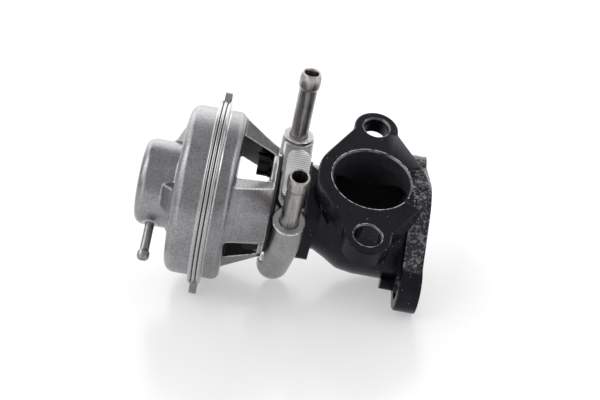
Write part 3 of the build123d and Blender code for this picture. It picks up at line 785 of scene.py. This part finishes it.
jacketLook = {
    "voxel": 0.0004,
    "softness": 2,
    "edgeBlur": 1,
    "padLean": 39,
    "padFoot": (-0.0575, -0.0041),     # centre of the lower end, along the stem and along the side axis
    "padLength": 0.0175,
    "padRadius": 0.0052,
    "padSides": 64,
    "padSplit": 0.00001,    # the round blank is cut here and its far half moved out
    "padTop": 0.0175,
    "padDepth": 0.0025,
    "padEdge": 0.0003,
    "padEdgeSteps": 2,
    "padSharp": 30,
    "padSmooth": 40,
    "bossDrop": 0.027,                      # from the hose bead down to the boss face
    "bossNear": 0.0006,
    "bossFace": (0.9, 1.0, 0.0, 0.0075),    # slope from and to, and distance from the tube's axis from and to
    "bossEdge": (0.35, 0.93, 0.0062, 0.0075),
}

screwLine = (portAxis + sideAxis).normalized()      # the two screws stand along it
jacketFront = (portAxis - sideAxis).normalized()
padLean = math.radians(jacketLook["padLean"])
padNormal = jacketFront * math.cos(padLean) + screwLine * math.sin(padLean)
padLong = screwLine * math.cos(padLean) - jacketFront * math.sin(padLean)
padFinish = milledMetal("milledPad", milled, stemPoint, axesTurn(padNormal, padLong))
milledBoss = dict(milled, light=(0.50, 0.495, 0.50), dark=(0.34, 0.335, 0.34), pitch=0.0006)
bossFinish = milledMetal("milledBoss", milledBoss, stemPoint, axesTurn(padNormal, stemAxis))
hoseMounts = [mounts[name] for name in ("upper_coolant_hose", "lower_coolant_hose")]


def nearBoss(point, normal, low, high, first, last):
    # near a boss's end, with its slope and its distance from the tube's axis in these ranges
    for mount in hoseMounts:
        axis = Vector(mount["axis"])
        middle = Vector(mount["pos_m"])
        below = abs((point - middle).dot(axis) + jacketLook["bossDrop"])
        if low < normal.dot(axis) <= high and below < jacketLook["bossNear"]:
            if first < offAxis(point, middle, axis) < last:
                return True
    return False


def onBossFace(point, normal):
    return nearBoss(point, normal, *jacketLook["bossFace"])


def onBossEdge(point, normal):
    return nearBoss(point, normal, *jacketLook["bossEdge"])


waterJacket = copyOfNode("water_jacket", "waterJacket")
softenCasting(waterJacket, jacketLook)
useMaterials(waterJacket, jacketFinish, bossFinish, polishedHighlightFinish)
paintFaces(waterJacket, bossFinish, onBossFace)
# polished metal and a painted highlight round the boss edges
paintFaces(waterJacket, polishedHighlightFinish, onBossEdge)
handOver(waterJacket, "water_jacket")


def stadiumPad(name, look):
    # lies along +X from the origin, with its top at z = 0
    clearPicks()
    bpy.ops.mesh.primitive_cylinder_add(vertices=look["padSides"], radius=look["padRadius"],
                                        depth=look["padDepth"], location=(0, 0, -look["padDepth"] / 2))
    pad = bpy.context.object
    pad.name = pad.data.name = name
    pickOnly(pad)
    bpy.ops.object.transform_apply(location=True, rotation=True, scale=True)
    bpy.context.tool_settings.mesh_select_mode = (True, False, False)
    bpy.ops.object.mode_set(mode="EDIT")
    bpy.ops.mesh.select_all(action="SELECT")
    bpy.ops.mesh.bisect(plane_co=(look["padSplit"], 0, 0), plane_no=(1, 0, 0), threshold=cutGap)
    bpy.ops.object.mode_set(mode="OBJECT")
    for vertex in pad.data.vertices:
        if vertex.co.x > look["padSplit"] / 2:
            vertex.co.x += look["padLength"]
    # the rounded edge takes the polished metal with its painted highlight
    useMaterials(pad, padFinish, polishedHighlightFinish)    # the rounded edge takes the second one
    applyModifier(pad, "BEVEL", width=look["padEdge"], segments=look["padEdgeSteps"], limit_method="ANGLE",
                  angle_limit=math.radians(look["padSharp"]), material=1, use_clamp_overlap=False)
    smoothUnder(pad, look["padSmooth"])
    return pad


milledPad = stadiumPad("milledPad", jacketLook)
padStation, padSide = jacketLook["padFoot"]
padFoot = stemPoint + stemAxis * padStation + sideAxis * padSide
padFoot += padNormal * (jacketLook["padTop"] - (padFoot - stemPoint).dot(padNormal))
placeAlong(milledPad, padFoot, padNormal, padLong)
handOver(milledPad, "water_jacket")
print("water jacket finished")


# coolant tubes and vacuum stub, turned round with a rolled bead at the open end

tubeSmooth = 60

coolantTube = {
    "sides": 64,
    "profile": (        # place along the tube from the bead and radius, in millimetres
        (-33.5, 3.98), (-3.5, 3.98), (-3.0, 4.06), (-2.5, 4.30), (-2.0, 4.54), (-1.4, 4.64),
        (1.6, 4.64), (2.4, 4.56), (3.1, 4.38), (3.7, 4.22), (4.15, 4.10), (4.40, 3.92),
        (4.48, 3.68), (4.42, 3.44), (4.2, 3.26), (3.7, 3.12), (3.0, 3.10), (-33.5, 3.10),
    ),
}
vacuumStub = {
    "sides": 40,
    "profile": (
        (-19.6, 1.98), (-2.0, 1.98), (-1.6, 2.12), (-1.2, 2.46), (-0.7, 2.62), (0.7, 2.62),
        (1.3, 2.50), (1.8, 2.26), (2.2, 2.02), (2.36, 1.80), (2.40, 1.50), (2.30, 1.24),
        (1.9, 1.10), (-19.6, 1.10),
    ),
}


def tubeFrom(name, look):
    profile = [(z / 1000, r / 1000) for z, r in look["profile"]]
    return latheAround(name, profile, look["sides"])


coolantBlank = tubeFrom("coolantBlank", coolantTube)
tubeSet = (
    (ownCopy(coolantBlank, "upperTube"), "upper_coolant_tube", "upper_coolant_hose", tubeSteel),
    (ownCopy(coolantBlank, "lowerTube"), "lower_coolant_tube", "lower_coolant_hose", tubeSteel),
    (tubeFrom("vacuumStub", vacuumStub), "vacuum_nipple", "vacuum_hose", stubSteel),
)
bpy.data.objects.remove(coolantBlank)
for tube, nodeName, mountName, steel in tubeSet:
    point = Vector(mounts[mountName]["pos_m"])
    direction = Vector(mounts[mountName]["axis"])
    placeAlong(tube, point, direction, stemAxis)
    useMaterials(tube, drawnSteel(tube.name + "Steel", steel, point, direction))
    smoothUnder(tube, tubeSmooth)
    handOver(tube, nodeName)
print("tubes finished")


# fixing screws, with a knurled head and a hexagon socket

screwLook = {
    "headRadius": 0.0049,
    "headLength": 0.005,
    "shankRadius": 0.003,
    "knurls": 36,
    "knurlDepth": 0.00022,
    "knurlFrom": 0.9,       # the knurls are cut outside this part of the head's radius
    "endSlope": 0.9,
    "socketFlats": 0.005,
    "socketDepth": 0.0028,
    "edge": 0.0005,
    "smooth": 25,
}


def knurledScrew(name, look, length):
    # head top at the origin, pointing along +Z into the work
    clearPicks()
    bpy.ops.mesh.primitive_cylinder_add(vertices=look["knurls"] * 2, radius=look["headRadius"],
                                        depth=look["headLength"], location=(0, 0, look["headLength"] / 2))
    screw = bpy.context.object
    screw.name = screw.data.name = name
    pickOnly(screw)
    bpy.ops.object.transform_apply(location=True, rotation=True, scale=True)
    pickFaces(screw, lambda centre, normal: normal.z > look["endSlope"])
    bpy.ops.mesh.inset(thickness=look["headRadius"] - look["shankRadius"])
    bpy.ops.mesh.extrude_region_move(TRANSFORM_OT_translate={"value": (0, 0, length - look["headLength"])})
    bpy.ops.object.mode_set(mode="OBJECT")
    pickFaces(screw, lambda centre, normal: normal.z < -look["endSlope"])
    bpy.ops.mesh.inset(thickness=look["edge"])
    bpy.ops.object.mode_set(mode="OBJECT")
    head = look["headRadius"] * look["knurlFrom"]
    for vertex in screw.data.vertices:
        flat = math.hypot(vertex.co.x, vertex.co.y)
        if flat > head and round(math.atan2(vertex.co.y, vertex.co.x) / math.pi * look["knurls"]) % 2:
            shrink = 1 - look["knurlDepth"] / flat
            vertex.co.x *= shrink
            vertex.co.y *= shrink
    clearPicks()
    bpy.ops.mesh.primitive_cylinder_add(vertices=6, radius=look["socketFlats"] / math.sqrt(3),
                                        depth=look["socketDepth"] * 2, location=(0, 0, 0))
    cutter = bpy.context.object
    applyModifier(screw, "BOOLEAN", operation="DIFFERENCE", solver="EXACT", object=cutter)
    bpy.data.objects.remove(cutter)
    return screw


screwPoints = [v.co.copy() for v in nodes["fixing_screws"].data.vertices]
screwTop = min(stemStation(p) for p in screwPoints)
screwTail = max(stemStation(p) for p in screwPoints)
screwReach = [(p - stemPoint).dot(screwLine) for p in screwPoints]
screwOffset = (max(screwReach) - min(screwReach)) / 2 - screwLook["headRadius"]
screwBlank = knurledScrew("screwBlank", screwLook, screwTail - screwTop)
for side, name in ((1, "upperScrew"), (-1, "lowerScrew")):
    screw = ownCopy(screwBlank, name)
    placeAlong(screw, stemPoint + stemAxis * screwTop + screwLine * side * screwOffset, stemAxis, portAxis)
    smoothUnder(screw, screwLook["smooth"])
    useMaterials(screw, blackFinish)
    handOver(screw, "fixing_screws")
bpy.data.objects.remove(screwBlank)
print("screws finished, pitch radius", round(screwOffset, 5))


# cast body, painted black over rough iron, with its faces and mouths machined

bodyLook = {
    "faceDepth": 0.0003,                # how far from a face's plane its polygons may lie
    "faceSlope": 0.99,
    "mouthDepth": (-0.0001, 0.0009),    # chamfers of the port and the bolt holes
    "mouthSlope": (0.3, 0.95),
    "portMouth": 0.0173,
    "holeMouth": 0.0063,
    "portLip": 0.0172,
    "holeLip": 0.0060,
    "inside": 0.0180,                   # every bore is narrower than this radius
    "boreStart": 0.0007,
    "boreSlope": 0.3,
    "neckDepth": 0.01,                  # the inlet's bore lies deeper than this under the outlet face
    "patch": (-0.0525, -0.0465),        # stations of the bare patch, painted near white for its glare as well
    "patchSlope": 0.8,
    "patchSide": 0.0085,
    "flange": 0.009,
    "wallRadius": 0.020,
    "wallEnds": (0.0002, 0.0003),       # left out at the two edges of the inlet flange's wall
    "wallSlope": 0.35,
    "smoothEnd": -0.033,                # the lug past this place along the side axis is smooth
    "step": 0.0008,                     # grid cut into the wall, so that it can take lumps
    "cutEnds": (0.0006, 0.0004),
    "cutReach": 0.042,
    "cutGap": 0.000001,
    "lumpEnds": (0.0004, 0.0005),
    "lump": 0.0011,
    "lumpDepth": 0.0006,
    "smooth": 28,
}


def boltHoles(name, middle):
    reach = mounts[name]["dims"]["pcd_mm"] / 2000
    return [middle + sideAxis * side * reach for side in (1, -1)]


wallSpan = (-bodyLook["flange"] + bodyLook["wallEnds"][0], -bodyLook["wallEnds"][1])
portHoles = boltHoles("outlet_bolts", portPoint)
inletHoles = boltHoles("inlet_bolts", stemPoint)
faceMouths = [(portPoint, bodyLook["portLip"])] + [(hole, bodyLook["holeLip"]) for hole in portHoles]
bodyPaint = paintedIron("bodyPaint", blackPaint, blackPaint["skinDepth"])
facePaint = paintedIron("facePaint", blackPaint, blackPaint["faceDepth"], faceMouths)
mouthMetal = wornMetal("mouthMetal", bareIron)
bareGlarePatch = wornMetal("bareGlarePatch", bareGlareIron)
chippedGlintIron = chippedGlintPaint("chippedGlintIron", chippedGlintWall)
boreSoot = dullCoat("boreSoot", sootBore)


def within(span, value):
    return span[0] < value < span[1]


def onOutletFace(point, normal):
    level = abs((point - portPoint).dot(portAxis)) < bodyLook["faceDepth"]
    return level and normal.dot(portAxis) > bodyLook["faceSlope"]


def onMouth(point, normal):
    look = bodyLook
    for middle, axis, holes in ((portPoint, portAxis, portHoles), (stemPoint, stemAxis, inletHoles)):
        depth = (middle - point).dot(axis)
        if within(look["mouthDepth"], depth) and within(look["mouthSlope"], normal.dot(axis)):
            if axis is portAxis and offAxis(point, middle, axis) < look["portMouth"]:
                return True
            return any(offAxis(point, hole, axis) < look["holeMouth"] for hole in holes)
    return False


def inBore(point, normal):
    look = bodyLook
    depth = (portPoint - point).dot(portAxis)
    across = acrossAxis(point, portPoint, portAxis)
    if depth > look["boreStart"] and across.length < look["inside"] and normal.dot(across) < 0:
        return True
    across = acrossAxis(point, stemPoint, stemAxis)
    if across.length > look["inside"] or normal.dot(across) > across.length * look["boreSlope"]:
        return False
    return stemStation(point) < -look["boreStart"] and depth > look["neckDepth"]


def onBareGlarePatch(point, normal):
    if not within(bodyLook["patch"], stemStation(point)) or normal.dot(portAxis) < bodyLook["patchSlope"]:
        return False
    return (point - stemPoint).dot(sideAxis) > bodyLook["patchSide"]


def onFlangeWall(point, normal):
    look = bodyLook
    if not within(wallSpan, stemStation(point)) or abs(normal.dot(stemAxis)) > look["wallSlope"]:
        return False
    across = acrossAxis(point, stemPoint, stemAxis)
    return across.length > look["wallRadius"] and normal.dot(across) > 0


def onRoughWall(point, normal):
    return onFlangeWall(point, normal) and (point - stemPoint).dot(sideAxis) > bodyLook["smoothEnd"]


def cutWall(piece, direction, first, last):
    place = first
    while place < last:
        pickFaces(piece, onFlangeWall)
        bpy.ops.mesh.bisect(plane_co=stemPoint + direction * place, plane_no=direction,
                            threshold=bodyLook["cutGap"])
        bpy.ops.object.mode_set(mode="OBJECT")
        place += bodyLook["step"]


def roughenWall(piece):
    look = bodyLook
    cutWall(piece, stemAxis, -look["flange"] + look["cutEnds"][0], -look["cutEnds"][1])
    cutWall(piece, sideAxis, -look["cutReach"], look["cutReach"])
    lumpy = (-look["flange"] + look["lumpEnds"][0], -look["lumpEnds"][1])
    group = piece.vertex_groups.new(name="roughWall")
    walls = set()
    for face in piece.data.polygons:
        if onFlangeWall(face.center, face.normal):
            walls.update(face.vertices)
    for index in walls:
        point = piece.data.vertices[index].co
        if within(lumpy, stemStation(point)) and (point - stemPoint).dot(sideAxis) > look["smoothEnd"]:
            group.add([index], 1.0, "REPLACE")
    lumps = bpy.data.textures.new("wallLumps", "CLOUDS")
    lumps.noise_scale = look["lump"]
    lumps.noise_depth = 1
    applyModifier(piece, "DISPLACE", texture=lumps, texture_coords="LOCAL", direction="NORMAL",
                  strength=look["lumpDepth"], mid_level=1.0, vertex_group="roughWall")


castBody = copyOfNode("valve_body", "castBody")
roughenWall(castBody)
useMaterials(castBody, bodyPaint, facePaint, mouthMetal, boreSoot, bareGlarePatch, chippedGlintIron)
# chipped paint with painted glints on the rough wall
paintFaces(castBody, chippedGlintIron, onRoughWall)
paintFaces(castBody, facePaint, onOutletFace)
paintFaces(castBody, boreSoot, inBore)
paintFaces(castBody, mouthMetal, onMouth)
paintFaces(castBody, bareGlarePatch, onBareGlarePatch)
smoothUnder(castBody, bodyLook["smooth"])
handOver(castBody, "valve_body")
print("valve body finished")


# studio

studio = {
    "floorSize": 8.0,
    "floorColour": (0.52, 0.52, 0.525),
    "floorShade": 0.015,    # how much darker its cloudy patches are
    "floorCloud": 0.35,
    "floorGlow": 0.40,      # the table is lit from below as well
    "floorGloss": (0.18, 0.22),
    "floorGrain": 0.02,
    "floorSpecular": 0.35,
    "sky": (1.0, 1.0, 1.0),
    "skyBack": 1.4,         # towards the bright back wall
    "skyTurn": (0.52, 0.98),
    "skyStrips": (          # the rest of the room, from the left wall to the right one
        (-1.0, 0.60), (-0.78, 0.60), (-0.68, 1.60), (-0.42, 1.60), (-0.32, 0.24), (-0.14, 0.28),
        (0.0, 0.60), (0.36, 0.60), (0.48, 0.26), (0.58, 0.30), (0.66, 1.20), (0.84, 1.20), (1.0, 0.55),
    ),
    "stripTop": 2,          # a ramp stops at 1, so it holds the levels divided by this
    "aim": (0, 0, 0.04),
    "boxes": (              # name, place, width and height, watts
        ("backBox", (0.1, 1.25, 0.75), (2.2, 1.0), 7),
        ("leftBox", (-0.9, -0.15, 1.0), (0.6, 1.3), 4),
        ("rightBox", (1.1, -0.3, 0.8), (0.5, 0.9), 2),
    ),
}


def studioFloor():
    clearPicks()
    bpy.ops.mesh.primitive_plane_add(size=studio["floorSize"], location=(0, 0, 0))
    floor = bpy.context.object
    floor.name = "studioFloor"
    material, tree, shader = newShader("studioFloor")
    cloud = noiseOf(tree, studio["floorCloud"])
    low = tuple(c - studio["floorShade"] for c in studio["floorColour"])
    tree.links.new(rampOf(tree, cloud, *noiseSpan, low, studio["floorColour"]), shader.inputs["Base Color"])
    gloss = rangeOf(tree, noiseOf(tree, studio["floorGrain"]), *noiseSpan, *studio["floorGloss"])
    tree.links.new(gloss, shader.inputs["Roughness"])
    shader.inputs["Specular IOR Level"].default_value = studio["floorSpecular"]
    shader.inputs["Emission Color"].default_value = (1, 1, 1, 1)
    shader.inputs["Emission Strength"].default_value = studio["floorGlow"]
    useMaterials(floor, material)


def softLight(name, place, size, watts):
    light = bpy.data.lights.new(name, "AREA")
    light.shape = "RECTANGLE"
    light.size = size[0]
    light.size_y = size[1]
    light.energy = watts
    lamp = bpy.data.objects.new(name, light)
    bpy.context.scene.collection.objects.link(lamp)
    lamp.location = place
    lamp.rotation_euler = (Vector(studio["aim"]) - Vector(place)).to_track_quat("-Z", "Y").to_euler()


def studioSky():
    world = bpy.data.worlds.new("studioSky")
    bpy.context.scene.world = world
    world.use_nodes = True
    tree = world.node_tree
    background = tree.nodes["Background"]
    background.inputs["Color"].default_value = (*studio["sky"], 1)
    coord = tree.nodes.new("ShaderNodeTexCoord")
    split = tree.nodes.new("ShaderNodeSeparateXYZ")
    tree.links.new(coord.outputs["Generated"], split.inputs["Vector"])
    strips = tree.nodes.new("ShaderNodeValToRGB")
    for index, (place, level) in enumerate(studio["skyStrips"]):
        if index < 2:
            stop = strips.color_ramp.elements[index]
            stop.position = (place + 1) / 2
        else:
            stop = strips.color_ramp.elements.new((place + 1) / 2)
        grey = level / studio["stripTop"]
        stop.color = (grey, grey, grey, 1)
    tree.links.new(rangeOf(tree, split.outputs["X"], -1, 1, 0, 1), strips.inputs["Fac"])
    wall = rangeOf(tree, split.outputs["Y"], *studio["skyTurn"], 0, 1)
    room = mathOf(tree, "MULTIPLY", strips.outputs["Color"], studio["stripTop"])
    room = mathOf(tree, "MULTIPLY", room, mathOf(tree, "SUBTRACT", 1, wall))
    strength = mathOf(tree, "ADD", room, mathOf(tree, "MULTIPLY", wall, studio["skyBack"]))
    tree.links.new(strength, background.inputs["Strength"])


studioFloor()
studioSky()
for box in studio["boxes"]:
    softLight(*box)
bpy.context.scene.view_settings.view_transform = "Standard"
print("studio lit")


# camera at the photograph's viewing angle

shot = {
    "place": (0.02303, -0.44216, 0.23755),
    "turn": (65.757, 0.198, 1.907),
    "lens": 68.04,      # millimetres, on a 36 mm wide sensor
    "sensor": 36.0,
    "clip": (0.01, 30),
}
camera = bpy.data.cameras.new("shotCamera")
camera.lens = shot["lens"]
camera.sensor_width = shot["sensor"]
camera.clip_start, camera.clip_end = shot["clip"]
cameraObject = bpy.data.objects.new("shotCamera", camera)
bpy.context.scene.collection.objects.link(cameraObject)
cameraObject.location = shot["place"]
cameraObject.rotation_euler = Euler([math.radians(a) for a in shot["turn"]])
bpy.context.scene.camera = cameraObject
print("camera set")


# update the scene

bpy.context.view_layer.update()
